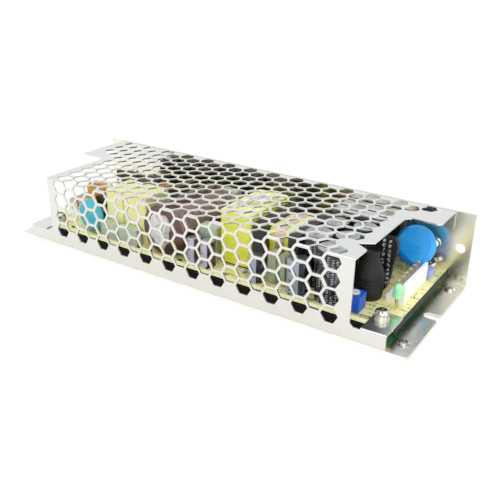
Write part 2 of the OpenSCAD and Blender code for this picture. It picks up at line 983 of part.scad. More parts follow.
module box_capacitors() {
    color("khaki") {
        stand(spot(-47.4, 13.6)) block([9.6, 16, 21.2], 0.8);
        stand(spot(-35.6, 13.6)) block([13, 16, 21.2], 0.8);
    }
}

module small_box_capacitors() {
    color("darkseagreen") {
        stand(spot(-47.2, 2.7)) block([9.8, 4, 7.5], 0.6);
        stand(spot(-36.3, 2.7)) block([10.8, 4, 7.5], 0.6);
        stand(spot(0.5, 12.4)) block([9, 6, 14], 0.6);
        stand(spot(-12.5, 41.5)) block([14, 5.5, 19], 0.6);
    }
}

fuse_radius = 2.6;
fuse_length = 20;
fuse_cap_length = 5;
module fuse_tube() {
    color("seashell")
    stand(fuse_at)
    translate([0, 0, fuse_radius])
    rotate([90, 0, 0])
    cylinder(r = fuse_radius - 0.3, h = fuse_length - 2 * fuse_cap_length, center = true);
}

module fuse_caps() {
    color("silver")
    stand(fuse_at)
    for (side = [-1, 1])
        translate([0, side * (fuse_length - fuse_cap_length) / 2, fuse_radius])
        rotate([90, 0, 0])
        cylinder(r = fuse_radius, h = fuse_cap_length, center = true);
}

module bridge_rectifier() {
    color("black")
    stand(spot(-61.6, 34.8))
    difference() {
        block([20, 3.6, 19], 0.5);
        translate([0, 5, 14]) rotate([90, 0, 0]) cylinder(r = 1.6, h = 10);
    }
}

// ---------- power stage ----------

// Lying electrolytic capacitor with its top towards the front
module bulk_capacitor() {
    color("saddlebrown")
    stand(bulk_at)
    translate([0, 0, bulk_radius])
    rotate([90, 0, 0])
    can(bulk_radius, bulk_length);
}

// Bead of white silicone over the capacitor's front end
module silicone_bead() {
    front = can_recess - bulk_length;
    color("white")
    stand(bulk_at)
    intersection() {
        union() {
            translate([-2, front + 3, bulk_radius]) sphere(r = 6.6);
            translate([1.5, front + 3, bulk_radius - 5]) sphere(r = 5.2);
            translate([-1, front + 2.5, bulk_radius + 4.5]) sphere(r = 4.6);
        }
        translate([-bulk_radius, front - 6, 1]) cube([2 * bulk_radius, 6, 2 * bulk_radius - 2]);
    }
}

module small_capacitors() {
    color("rebeccapurple") {
        stand(spot(-2, 4.4)) can(3.15, 11);
        stand(spot(4.6, 4.4)) can(3.15, 11);
    }
    color("slategray") {
        stand(spot(28.4, 4)) can(3.15, 11);
        stand(spot(46.4, 5.2)) can(4.5, 13.5);
    }
}

module output_capacitors() {
    color("darkslateblue") {
        for (place = [[48.5, 16.6], [59, 7]])
            stand(spot(place[0], place[1])) can(5.8, output_can_height);
        for (place = [[58.9, 20], [49, 30.5], [60.5, 32.4]])
            stand(spot(place[0], place[1])) can(5, output_can_height);
    }
}

transformer_depth = 30.5;
transformer_seat = 1;
module main_transformer() {
    color("gold")
    stand(transformer_at)
    translate([0, 0, transformer_seat])
    block([transformer_width, transformer_depth, transformer_height - transformer_seat], 1.6);
}

module main_transformer_core() {
    color("darkslategray")
    stand(transformer_at) {
        block([transformer_width - 1, transformer_depth - 2, transformer_seat], 0.4);
        translate([0, transformer_depth / 2 + 1.6, 0])
        block([transformer_width - 1.5, 3, transformer_height - 2], 0.4);
    }
}

// The two plates of the second transformer's core, joined by its round leg
second_height = 20.5;
second_window = 9.8;
second_leg = 5;
module second_transformer_core() {
    color("darkslategray")
    stand(second_at) {
        translate([-second_window / 2 - 3, 0, 0]) block([6, 27, second_height], 0.6);
        translate([second_window / 2 + 2.4, 0, 0]) block([4.8, 26, second_height - 1], 0.6);
        translate([-second_window / 2 - 0.1, 0, second_height / 2])
        rotate([0, 90, 0])
        cylinder(r = second_leg, h = second_window + 0.2);
    }
}

// Section of the second winding across the leg, grown by some thickness
module second_section(grow) {
    translate([-10.4 - grow, -9.2 - grow])
    rounded_plate([20.8 + 2 * grow, 18.4 + 2 * grow], 2);
}

// Upright ring of that section round the leg, along X
module round_leg(length) {
    stand(second_at)
    translate([-length / 2, 0, second_height / 2])
    rotate([90, 0, 90])
    linear_extrude(length)
    children();
}

module second_transformer_winding() {
    color("gold")
    round_leg(second_window - 0.2)
    difference() {
        second_section(0);
        circle(second_leg + 0.1);
    }
}

// Copper shield round the second transformer's winding
module copper_band() {
    color("lightsalmon")
    round_leg(4)
    difference() {
        second_section(0.4);
        second_section(0.05);
    }
}

// Sleeved lead-out wires that lie over the main transformer
module transformer_wires() {
    wire = 0.7;
    color("mistyrose")
    stand(transformer_at)
    for (i = [0 : 3])
        translate([2.2 * i - 4, 1.5 * i - 6, transformer_height + wire])
        rotate([-90, 0, -10 - 5 * i])
        cylinder(r = wire, h = 15 - 2 * i, $fn = 16);
}

boost_at = spot(-39.1, 33.5);
boost_leg = 4;
boost_window = 11;
boost_core_height = 20;
module boost_choke_core() {
    color("darkslategray")
    stand(boost_at) {
        for (side = [-1, 1])
            translate([side * (boost_window / 2 + 2.5), 0, 0]) block([5, 16, boost_core_height], 0.5);
        translate([-boost_window / 2 - 0.5, 0, boost_core_height / 2])
        rotate([0, 90, 0])
        cylinder(r = boost_leg, h = boost_window + 1);
    }
}

// Round wire turns side by side, drawn as a ribbed sleeve on the leg
module boost_choke_winding() {
    turns = 12;
    half = boost_window / 2 - 0.1;
    pitch = 2 * half / turns;
    color("orangered")
    stand(boost_at)
    translate([0, 0, boost_core_height / 2])
    rotate([0, 90, 0])
    rotate_extrude($fn = 48)
    polygon(concat(
        [[boost_leg + 0.1, -half], [boost_leg + 0.1, half]],
        [for (i = [turns - 1 : -1 : 0]) each [
            [boost_leg + 4.3, (i + 0.8) * pitch - half], [boost_leg + 3.9, i * pitch - half]
        ]]
    ));
}

// Finned bar along the back of the board
module primary_heat_sink() {
    length = 58;
    fin = 1.4;
    fins = 10;
    color("black")
    stand(primary_sink_at)
    translate([-length / 2, 0, 0]) {
        translate([0, -5, 0]) cube([length, 2, sink_height]);
        for (i = [0 : fins - 1])
            translate([i * (length - fin) / (fins - 1), -3.1, 0]) cube([fin, 3.1, sink_height]);
    }
}

// Angle of aluminium with its upper leg over the rectifiers
module secondary_heat_sink() {
    length = 27;
    color("silver")
    stand(secondary_sink_at)
    translate([-length / 2, 0, 0]) {
        translate([0, -2, 0]) cube([length, 2, sink_height]);
        translate([0, -15, sink_height - 2]) cube([length, 13.1, 2]);
    }
}

// Flat power package: plastic body and metal tab, upright, its back on y = 0
module power_package() {
    difference() {
        union() {
            translate([-5, -4.4, 3]) cube([10, 4.4, 9]);
            translate([-5, -1.3, 12]) cube([10, 1.3, 6]);
        }
        translate([0, 1, 15.4]) rotate([90, 0, 0]) cylinder(r = 1.8, h = 8);
    }
    for (x = [-2.54, 0, 2.54]) translate([x - 0.4, -2.8, 0]) cube([0.8, 0.6, 3.1]);
}

module power_transistors() {
    color("black")
    stand(primary_sink_at)
    for (x = [-20, 8]) translate([x, -5, 0]) power_package();
}

module output_rectifiers() {
    color("dimgray")
    stand(secondary_sink_at)
    for (x = [-6.5, 6.5]) translate([x, -2, 0]) power_package();
}

// ---------- small parts ----------

module axial(radius, length) {
    translate([0, 0, radius]) rotate([90, 0, 0]) cylinder(r = radius, h = length, center = true);
}

module resistors() {
    color("tan")
    for (i = [0 : 4]) stand(spot(9 + 4 * i, 50)) axial(1.2, 6.5);
}

module diodes() {
    color("black")
    for (i = [0 : 1]) stand(spot(29.4 + 4.4 * i, 49)) axial(1.4, 7);
}

module chips() {
    color("black") {
        stand(spot(82.6, 46.1)) block([4.6, 6, 3.4], 0.2);
        stand(spot(33, 41.8)) block([9.4, 6.4, 3.4], 0.2);
    }
}

chassis();
cover();
circuit_board();
edge_strips();
insulating_sheet();
board_standoffs();
board_screws();
flat_washers();
spring_washers();
flange_screws();
cover_screws();
output_header();
output_pins();
input_header();
input_pins();
indicator_lens();
indicator_leads();
trimmer_body();
trimmer_rotor();
output_choke();
sleeved_disc();
ceramic_disc();
disc_leads();
varistor();
line_choke_core();
line_choke_winding();
dipped_capacitors();
box_capacitors();
small_box_capacitors();
bulk_capacitor();
silicone_bead();
small_capacitors();
output_capacitors();
main_transformer();
main_transformer_core();
second_transformer_winding();
second_transformer_core();
copper_band();
transformer_wires();
boost_choke_core();
boost_choke_winding();
primary_heat_sink();
secondary_heat_sink();
power_transistors();
output_rectifiers();
bridge_rectifier();
fuse_tube();
fuse_caps();
thermistor();
resistors();
diodes();
chips();
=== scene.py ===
"""Looks of an enclosed power supply module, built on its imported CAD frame, in metres."""
import math
import random

import bmesh
import bpy
from mathutils import Matrix, Vector


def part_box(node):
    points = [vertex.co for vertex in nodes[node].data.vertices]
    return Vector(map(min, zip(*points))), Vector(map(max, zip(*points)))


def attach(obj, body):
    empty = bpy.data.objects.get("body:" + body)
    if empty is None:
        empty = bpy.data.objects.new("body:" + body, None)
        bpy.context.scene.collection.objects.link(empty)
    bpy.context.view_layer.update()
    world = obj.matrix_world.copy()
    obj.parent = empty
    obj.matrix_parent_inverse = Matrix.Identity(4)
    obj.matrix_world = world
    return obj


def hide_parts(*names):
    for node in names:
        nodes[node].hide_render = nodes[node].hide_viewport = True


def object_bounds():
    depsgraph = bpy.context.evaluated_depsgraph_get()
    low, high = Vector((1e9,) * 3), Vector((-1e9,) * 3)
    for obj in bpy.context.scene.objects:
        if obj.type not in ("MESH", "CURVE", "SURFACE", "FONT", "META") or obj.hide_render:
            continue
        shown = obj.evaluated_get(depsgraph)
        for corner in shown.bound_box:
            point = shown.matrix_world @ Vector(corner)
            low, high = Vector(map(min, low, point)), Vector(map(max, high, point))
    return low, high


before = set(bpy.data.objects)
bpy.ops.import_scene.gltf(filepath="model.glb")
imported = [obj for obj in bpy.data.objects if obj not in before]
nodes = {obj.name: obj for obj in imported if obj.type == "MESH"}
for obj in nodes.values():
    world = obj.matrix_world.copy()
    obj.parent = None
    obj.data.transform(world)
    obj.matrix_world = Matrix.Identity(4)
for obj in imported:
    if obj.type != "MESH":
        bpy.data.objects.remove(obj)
cad_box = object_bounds()

# ---------------------------------------------------------------- camera
# The camera stands to the right of the front wall's middle and above it, and looks
# along the module to its input end, with a 49 mm lens and no shift.

camera = bpy.data.objects.new("camera", bpy.data.cameras.new("camera"))
bpy.context.scene.collection.objects.link(camera)
camera.location = (0.15699, -0.22536, 0.12903)
camera.rotation_euler = (math.radians(65.537), math.radians(-0.775), math.radians(33.161))
camera.data.lens = 49.43
camera.data.clip_start = 0.01
bpy.context.scene.camera = camera

# ---------------------------------------------------------------- light and floor
# A white light tent on a white sweep: a bright surround, a large cool panel over
# the top, and warm panels in front and beside the open end.

MM = 0.001


def light_panel(name, place, target, size, watts, colour):
    panel = bpy.data.lights.new(name, "AREA")
    panel.shape = "RECTANGLE"
    panel.size, panel.size_y = size
    panel.energy = watts
    panel.color = colour
    stand = bpy.data.objects.new(name, panel)
    bpy.context.scene.collection.objects.link(stand)
    stand.location = place
    direction = Vector(target) - Vector(place)
    stand.rotation_euler = direction.to_track_quat("-Z", "Y").to_euler()


COOL_WHITE, WARM_WHITE, SOFT_WHITE = (0.97, 0.98, 1.0), (1.0, 0.98, 0.94), (1.0, 0.98, 0.95)
light_panel("top_panel", (0.05, -0.20, 0.75), (0, 0, 0), (0.9, 0.7), 1.6, COOL_WHITE)
light_panel("front_panel", (0.35, -0.75, 0.50), (0.03, 0, 0.01), (0.7, 0.5), 1.2, WARM_WHITE)
light_panel("end_panel", (0.75, -0.15, 0.30), (0.08, 0, 0.01), (0.4, 0.3), 0.4, SOFT_WHITE)

surround = bpy.data.worlds.new("surround")
bpy.context.scene.world = surround
surround.use_nodes = True
sky = surround.node_tree
direction = sky.nodes.new("ShaderNodeTexCoord")
height = sky.nodes.new("ShaderNodeSeparateXYZ")
tent = sky.nodes.new("ShaderNodeValToRGB")
tent.color_ramp.elements[0].position = 0.02
tent.color_ramp.elements[0].color = (1.0, 0.98, 0.93, 1)
tent.color_ramp.elements[1].position = 0.40
tent.color_ramp.elements[1].color = (0.92, 0.965, 1.06, 1)
sky.links.new(direction.outputs["Generated"], height.inputs[0])
sky.links.new(height.outputs["Z"], tent.inputs["Fac"])
sky.links.new(tent.outputs["Color"], sky.nodes["Background"].inputs["Color"])
sky.nodes["Background"].inputs["Strength"].default_value = 1.04
bpy.context.scene.view_settings.view_transform = "Standard"


class Value:
    """A value or a colour in a finish, which can be used in expressions."""

    def __init__(self, finish, socket):
        self.finish = finish
        self.socket = socket

    def math(self, operation, *values):
        return self.finish.node("Math", {"operation": operation}, dict(enumerate(values)))

    def __add__(self, other):
        return self.math("ADD", self, other)

    __radd__ = __add__

    def __sub__(self, other):
        return self.math("SUBTRACT", self, other)

    def __rsub__(self, other):
        return self.math("SUBTRACT", other, self)

    def __mul__(self, other):
        return self.math("MULTIPLY", self, other)

    __rmul__ = __mul__

    def __gt__(self, other):
        return self.math("GREATER_THAN", self, other)

    def __lt__(self, other):
        return self.math("LESS_THAN", self, other)

    def __abs__(self):
        return self.math("ABSOLUTE", self)

    def wrap(self, length):
        """The rest after taking off whole lengths, from 0 to length."""
        return self.math("FLOORED_MODULO", self, length)

    def at_least(self, other):
        return self.math("MAXIMUM", self, other)

    def root(self):
        return self.math("SQRT", self)


class Finish:
    """A material: one shader, and the nodes that vary its colour, gloss and bumps."""

    def __init__(self, name, **plain):
        self.material = bpy.data.materials.new(name)
        self.material.use_nodes = True
        self.tree = self.material.node_tree
        self.shader = self.tree.nodes["Principled BSDF"]
        self.set(**plain)

    def node(self, kind, settings=None, values=None, output=0):
        made = self.tree.nodes.new("ShaderNode" + kind)
        for name, setting in (settings or {}).items():
            setattr(made, name, setting)
        for name, value in (values or {}).items():
            self.feed(made.inputs[name], value)
        return Value(self, made.outputs[output])

    def feed(self, socket, value):
        if isinstance(value, Value):
            self.tree.links.new(value.socket, socket)
        elif hasattr(socket.default_value, "__len__"):
            socket.default_value = (*value, 1)[: len(socket.default_value)]
        else:
            socket.default_value = value

    def set(self, **sockets):
        """Sets shader sockets by name, with _ for a space."""
        for name, value in sockets.items():
            words = name.replace("_", " ").title().replace("Ior", "IOR")
            self.feed(self.shader.inputs[words], value)

    def place(self, scale=(1, 1, 1)):
        """Where a point is on the module, in millimetres."""
        point = self.node("TexCoord", output=3)
        point = self.node("VectorMath", {"operation": "SCALE"}, {0: point, 3: 1 / MM})
        return self.node("Mapping", values={0: point, 3: scale})

    def axis(self, point, letter):
        return self.node("SeparateXYZ", values={0: point}, output="XYZ".index(letter))

    def noise(self, point, scale, detail):
        values = {"Vector": point, "Scale": scale, "Detail": detail, "Roughness": 0.55}
        return self.node("TexNoise", values=values)

    def mix(self, factor, first, second):
        return self.node("Mix", {"data_type": "RGBA"}, {0: factor, 6: first, 7: second}, 2)

    def spread(self, value, low, high, to_low=0.0, to_high=1.0):
        """Maps low..high to another span, and holds it there."""
        names = {0: value, 1: low, 2: high, 3: to_low, 4: to_high}
        return self.node("MapRange", {"clamp": True}, names)

    def bumps(self, height, depth_mm, strength):
        values = {"Height": height, "Distance": depth_mm * MM, "Strength": strength}
        self.set(normal=self.node("Bump", values=values))


def deselect():
    if bpy.context.object and bpy.context.object.mode != "OBJECT":
        bpy.ops.object.mode_set(mode="OBJECT")
    bpy.ops.object.select_all(action="DESELECT")


FLOOR_DROP = -0.0002
deselect()
bpy.ops.mesh.primitive_plane_add(size=6, location=(0, 0, FLOOR_DROP))
floor = bpy.context.object
floor.name = "floor"
paper = Finish("white_paper", roughness=0.9, specular_ior_level=0.2, emission_strength=1.0)
fibres = paper.noise(paper.place(), 0.02, 3)
paper.set(base_color=paper.mix(fibres, (0.82, 0.81, 0.79), (0.84, 0.83, 0.81)))
# Painted light: the sweep glows by emission, more strongly away from the module, where the panels'
# light falls off
from_module = paper.node("VectorMath", {"operation": "LENGTH"}, {0: paper.place()}, 1)
painted_glow_share = paper.spread(from_module, 150, 600)
paper.set(emission_color=paper.mix(painted_glow_share, (0.13, 0.125, 0.115), (0.42, 0.41, 0.39)))
floor.data.materials.append(paper.material)

# ---------------------------------------------------------------- case
# Base plate with its back wall, and the perforated cover: bright zinc-plated sheet
# steel, cut and folded. It has a fine rolling grain and mirrors what is close by.


def wear(name, finish):
    """Gives a CAD node its finish."""
    mesh = nodes[name].data
    mesh.materials.clear()
    mesh.materials.append(finish.material)


def plated_sheet(name, tone, cut_to):
    """Sheet that is duller where it is cut, in front of y = cut_to in mm; a painted highlight makes
    the cut paler, and painted shade makes the back face darker.
    """
    finish = Finish(name, metallic=1.0)
    point = finish.place()
    cut = finish.axis(point, "Y") < cut_to
    base_plate = finish.axis(point, "Z") < 2.0
    back_face = finish.axis(point, "Y") > cad_box[1][1] / MM - 0.05
    cloud = finish.noise(point, 0.06, 3)
    grain = finish.noise(finish.place(scale=(0.05, 1, 1)), 9.0, 2)
    face = finish.mix(cloud, tone, tuple(c * 0.94 for c in tone))
    # Painted shade: the back face, turned away from the lights, is given a darker tone
    back_face_shade = finish.mix(cloud, (0.66, 0.64, 0.55), (0.76, 0.74, 0.65))
    face = finish.mix(back_face, face, back_face_shade)
    # Painted highlight: the cut edge's colour is made paler, as if it caught the light; its extra
    # roughness is the real dull cut
    finish.set(base_color=finish.mix(cut, face, (0.96, 0.95, 0.90)))
    gloss = finish.spread(cloud + 0.25 * grain, 0.3, 0.9, 0.17, 0.27)
    finish.set(roughness=gloss + cut * 0.3 + base_plate * 0.04)
    finish.bumps(grain, 0.004, 0.35)
    return finish


# The plate's front edge is the module's front. The cover has no cut edge there
front_edge = cad_box[0][1] / MM
wear("cover", plated_sheet("cover_sheet", (0.785, 0.765, 0.695), front_edge - 1))
wear("chassis", plated_sheet("chassis_sheet", (0.85, 0.82, 0.70), front_edge + 0.2))

# ---------------------------------------------------------------- board
# Single-sided paper laminate: pale yellow on top with a dark printed legend, a cut
# edge made pale and glowing by painted light, and green solder resist over the tracks below.

board_low, board_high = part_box("circuit_board")
board_top = board_high.z
board_bottom = board_low.z
# In millimetres: how far down the board's edges the print and the resist reach, and
# the pitches of the printed strokes, their rows, the hatching and the hatched bars
PRINT_DEPTH, RESIST_DEPTH = 0.05, 0.02
STROKE_PITCH, ROW_PITCH, HATCH_PITCH, BAR_PITCH = 1.15, 2.9, 1.5, 23.0


def laminate():
    finish = Finish("board_laminate")
    point = finish.place()
    x = finish.axis(point, "X")
    y = finish.axis(point, "Y")
    z = finish.axis(point, "Z")
    fibre = finish.noise(point, 1.6, 4)
    resin = finish.mix(fibre, (0.84, 0.78, 0.30), (0.93, 0.88, 0.44))

    # Printed legend, with no letters: part outlines, rows of strokes, and hatched bars
    outlines = finish.node(
        "TexBrick",
        {"offset": 0.37, "squash": 0.7, "squash_frequency": 3},
        {
            "Vector": point, "Scale": 1.0, "Mortar Size": 0.11, "Mortar Smooth": 0.0,
            "Brick Width": 8.3, "Row Height": 5.7,
        },
        1,
    )
    outlines = outlines * (finish.noise(point, 0.13, 1) > 0.49)
    strokes = (x.wrap(STROKE_PITCH) < 0.75) * (y.wrap(ROW_PITCH) < 1.15)
    strokes = strokes * (finish.noise(point, 1.9, 0) > 0.49) * (finish.noise(point, 0.19, 1) > 0.54)
    front = board_low.y / MM
    front_strip = (y > front + 0.9) * (y < front + 3.1) * (x > 40.0)
    bars = ((x - y).wrap(HATCH_PITCH) < 0.95) * (x.wrap(BAR_PITCH) < 9.0) * front_strip
    legend = outlines.at_least(strokes).at_least(bars)
    top = finish.mix(legend * 0.88, resin, (0.05, 0.06, 0.04))

    resist = finish.mix(fibre, (0.02, 0.30, 0.07), (0.04, 0.42, 0.11))
    tracks = finish.node("TexVoronoi", {"feature": "F1"}, {"Vector": point, "Scale": 0.14})
    below = finish.mix(finish.spread(tracks, 0.52, 0.56), resist, (0.10, 0.55, 0.20))
    # Painted light: the cut edge's colour is paler than the top, against the shade of the cover
    # wall
    edge = finish.mix(fibre, (0.95, 0.90, 0.55), (0.98, 0.95, 0.66))
    upper = z > board_top / MM - PRINT_DEPTH
    lower = z < board_bottom / MM + RESIST_DEPTH
    finish.set(base_color=finish.mix(lower, finish.mix(upper, edge, top), below))
    # Painted glow on the cut edge, standing in for light that falls on it
    painted_glow_edge = (1 - upper) * (1 - lower)
    finish.set(emission_color=finish.mix(painted_glow_edge, (0, 0, 0), (0.34, 0.32, 0.17)))
    finish.set(emission_strength=1.0)
    finish.set(roughness=finish.spread(fibre, 0.3, 0.7, 0.32, 0.48))
    finish.bumps(fibre + legend * 0.6, 0.02, 0.5)
    return finish


wear("circuit_board", laminate())

# ---------------------------------------------------------------- surface parts
# A row of small chip resistors along the board's front edge: a black or brown body
# between two tinned caps, soldered flat to the board.

CHIP_WIDTH, CHIP_THICKNESS, CAP_LENGTH = 0.85 * MM, 0.5 * MM, 0.35 * MM
CHIP_FROM_EDGE, CHIP_LIFT = 1.15 * MM, 0.28 * MM
SHORT_CHIP, LONG_CHIP = 1.3 * MM, 2.0 * MM
CHIP_BEVEL, CAP_FLARE = 0.06 * MM, (1, 1.1, 1.06)
# Distances from the board's left end, in millimetres
CHIPS_ALONG = (
    6.5, 12.0, 17.5, 57.5, 64.0, 72.0, 80.0, 87.0, 94.0, 103.0, 111.0, 126.0, 133.0,
)


def select_faces(piece, test):
    """In edit mode, selects the faces whose centre and normal pass the test."""
    mesh = bmesh.from_edit_mesh(piece.data)
    for face in mesh.faces:
        face.select_set(bool(test(face.calc_center_median(), face.normal)))
    mesh.select_flush_mode()
    bmesh.update_edit_mesh(piece.data)


def paint_faces(piece, finish, test):
    """Gives the faces that pass the test another finish."""
    piece.data.materials.append(finish.material)
    last = len(piece.data.materials) - 1
    for face in piece.data.polygons:
        if test(face.center, face.normal):
            face.material_index = last


def join(pieces, name):
    deselect()
    for piece in pieces:
        piece.select_set(True)
    bpy.context.view_layer.objects.active = pieces[0]
    if len(pieces) > 1:
        bpy.ops.object.join()
    pieces[0].name = name
    pieces[0].data.name = name
    return pieces[0]


def plated_metal(name, low, high, rough_low, rough_high, scale=1.5):
    finish = Finish(name, metallic=1.0)
    cloud = finish.noise(finish.place(), scale, 4)
    finish.set(base_color=finish.mix(finish.spread(cloud, 0.35, 0.65), low, high))
    finish.set(roughness=finish.spread(cloud, 0.3, 0.7, rough_low, rough_high))
    finish.bumps(cloud, 0.01, 0.3)
    return finish


def moulded(name, low, high, rough=(0.3, 0.45), scale=1.2, depth=0.02, **plain):
    """Moulded or dipped surface: a slow drift of colour and a faint orange peel."""
    finish = Finish(name, **plain)
    cloud = finish.noise(finish.place(), scale, 4)
    finish.set(base_color=finish.mix(finish.spread(cloud, 0.3, 0.7), low, high))
    finish.set(roughness=finish.spread(cloud, 0.3, 0.7, *rough))
    finish.bumps(cloud, depth, 0.4)
    return finish


tin = plated_metal("tin_plate", (0.70, 0.68, 0.60), (0.84, 0.81, 0.70), 0.2, 0.36)


def surface_part(place, length, finish):
    """A chip part: its body is bevelled, and its ends are drawn out as tinned caps."""
    deselect()
    bpy.ops.mesh.primitive_cube_add(size=1, location=place)
    part = bpy.context.object
    part.scale = (length, CHIP_WIDTH, CHIP_THICKNESS)
    bpy.ops.object.transform_apply(location=True, scale=True)
    bpy.ops.object.mode_set(mode="EDIT")
    for side in (-1, 1):
        select_faces(part, lambda centre, normal: normal.x * side > 0.9)
        drawn_out = {"value": (side * CAP_LENGTH, 0, 0)}
        bpy.ops.mesh.extrude_region_move(TRANSFORM_OT_translate=drawn_out)
        bpy.ops.transform.resize(value=CAP_FLARE)
    bpy.ops.mesh.select_all(action="SELECT")
    bpy.ops.mesh.bevel(offset=CHIP_BEVEL, segments=1, affect="EDGES")
    bpy.ops.object.mode_set(mode="OBJECT")
    part.data.materials.append(finish.material)
    body_end = length / 2 + 0.02 * MM
    paint_faces(part, tin, lambda centre, normal: abs(centre.x - place[0]) > body_end)
    return part


chip_black = moulded("chip_part_black", (0.02, 0.02, 0.02), (0.04, 0.04, 0.04), scale=3.0)
chip_brown = moulded("chip_part_brown", (0.28, 0.16, 0.08), (0.38, 0.24, 0.13), scale=3.0)
surface_parts = []
for number, along in enumerate(CHIPS_ALONG):
    length = SHORT_CHIP if number % 3 else LONG_CHIP
    place = (board_low.x + along * MM, board_low.y + CHIP_FROM_EDGE, board_top + CHIP_LIFT)
    finish = chip_brown if number % 4 == 1 else chip_black
    surface_parts.append(surface_part(place, length, finish))
chip_row = join(surface_parts, "chip_row")
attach(chip_row, "supply")

# ---------------------------------------------------------------- film and fixings
# Black polyester film lies under the board and wraps its ends. Tinned standoffs,
# nickel-plated pan head screws and split washers hold the board and the cover.


def film():
    finish = Finish("polyester_film", specular_ior_level=0.3)
    cloud = finish.noise(finish.place(), 0.5, 3)
    finish.set(base_color=finish.mix(cloud, (0.006, 0.006, 0.008), (0.012, 0.012, 0.014)))
    finish.set(roughness=finish.spread(cloud, 0.3, 0.7, 0.42, 0.6))
    finish.bumps(cloud, 0.05, 0.4)
    return finish


black_film = film()
for name in ("edge_strips", "insulating_sheet"):
    wear(name, black_film)

# Painted reflection: the nickel's colour mixes dark and bright patches that stand in for
# reflections, not marks on the metal
nickel = plated_metal("nickel_painted_reflections", (0.20, 0.18, 0.15), (1.0, 0.97, 0.88), 0.10, 0.24, 0.9)
for name in ("board_screws", "flange_screws", "cover_screws"):
    wear(name, nickel)
for name in ("board_standoffs", "flat_washers", "spring_washers", "fuse_caps", "disc_leads"):
    wear(name, tin)

# ---------------------------------------------------------------- headers
# Ivory nylon pin headers with a lock wall, and square tinned brass pins. The
# indicator's leads have the same tin.

nylon = moulded("ivory_nylon", (0.95, 0.94, 0.89), (0.99, 0.985, 0.96))
brass_pin = plated_metal("tinned_brass", (0.66, 0.61, 0.46), (0.86, 0.82, 0.68), 0.15, 0.3)
for name in ("output_header", "input_header"):
    wear(name, nylon)
for name in ("output_pins", "input_pins", "indicator_leads"):
    wear(name, brass_pin)

# ---------------------------------------------------------------- indicator and trimmer
# A 3 mm diffused green indicator on two leads, and a square blue trimmer whose white
# rotor has a slot in a brown face.

lens = moulded(
    "green_resin", (0.36, 0.92, 0.44), (0.52, 0.99, 0.60), (0.15, 0.25), 0.8, 0.01,
    transmission_weight=0.15, ior=1.5, subsurface_weight=0.5, subsurface_scale=0.001,
)
wear("indicator_lens", lens)
trimmer_blue = moulded("trimmer_blue", (0.006, 0.075, 0.47), (0.010, 0.115, 0.66), (0.28, 0.4))
wear("trimmer_body", trimmer_blue)


def rotor():
    finish = Finish("rotor_white", roughness=0.4)
    z = finish.axis(finish.place(), "Z")
    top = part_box("trimmer_rotor")[1].z / MM
    cloud = finish.noise(finish.place(), 1.0, 3)
    white = finish.mix(cloud, (0.83, 0.80, 0.72), (0.93, 0.91, 0.86))
    finish.set(base_color=finish.mix(z > top - 0.1, (0.55, 0.26, 0.08), white))
    finish.bumps(cloud, 0.02, 0.4)
    return finish


wear("trimmer_rotor", rotor())

# ---------------------------------------------------------------- output end
# A drum choke and a disc in black shrink sleeve, and a large blue ceramic disc. The
# dipped discs of the input end, light blue and dark green, are finished the same way.


def shrink_sleeve(name, node, low, high):
    """Heat-shrunk tube: ridged over a choke's coil, or marked down its flat face."""
    finish = Finish(name, specular_ior_level=0.35)
    point = finish.place()
    box_low, box_high = (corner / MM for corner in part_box(node))
    tall = box_high.z - box_low.z
    cloud = finish.noise(point, 0.35, 3)
    fine = finish.noise(point, 2.5, 4)
    z = finish.axis(point, "Z")
    skin = finish.mix(cloud, low, high)
    height = cloud + 0.3 * fine
    if node == "output_choke":
        coil_foot = box_low.z + 0.16 * tall
        coil = (z > coil_foot) * (z < coil_foot + 0.34 * tall)
        height = height + coil * abs(z.wrap(1.7) - 0.85) * 0.9
    else:
        across = finish.axis(point, "X") - (box_low.x + box_high.x) / 2
        columns = (abs(across - 0.9) < 0.55).at_least(abs(across - 3.3) < 0.55)
        strokes = (z.wrap(1.9) < 1.25) * (finish.noise(point, 2.2, 0) > 0.47)
        marks = columns * strokes * (z > box_low.z + 2.5)
        skin = finish.mix(marks, skin, (0.62, 0.62, 0.60))
    finish.set(base_color=skin)
    finish.set(roughness=finish.spread(cloud + 0.4 * fine, 0.4, 0.9, 0.36, 0.55))
    finish.bumps(height, 0.12, 0.45)
    return finish


def disc_epoxy():
    """Blue dip: glossy, with painted shade on its lower left rounded edge, and faint strokes."""
    finish = Finish("blue_epoxy")
    point = finish.place()
    low, high = (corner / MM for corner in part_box("ceramic_disc"))
    x = finish.axis(point, "X") - (low.x + high.x) / 2
    z = finish.axis(point, "Z") - (low.z + high.z) / 2
    cloud = finish.noise(point, 0.25, 4)
    coat = finish.mix(cloud, (0.014, 0.36, 0.88), (0.020, 0.42, 0.96))
    # Painted shade: the lower left of the disc, where its edge rounds away, is darker blue
    coat = finish.mix(0.6 * x + z < -4.4, coat, (0.010, 0.20, 0.60))
    rows = (abs(z - 0.4) < 0.6).at_least(abs(z + 1.4) < 0.6) * (abs(x) < 3.0)
    strokes = rows * (x.wrap(1.2) < 0.75) * (finish.noise(point, 2.0, 0) > 0.47)
    finish.set(base_color=finish.mix(strokes * 0.5, coat, (0.010, 0.12, 0.35)))
    finish.set(roughness=finish.spread(cloud, 0.3, 0.7, 0.16, 0.26))
    finish.bumps(cloud, 0.1, 0.4)
    return finish


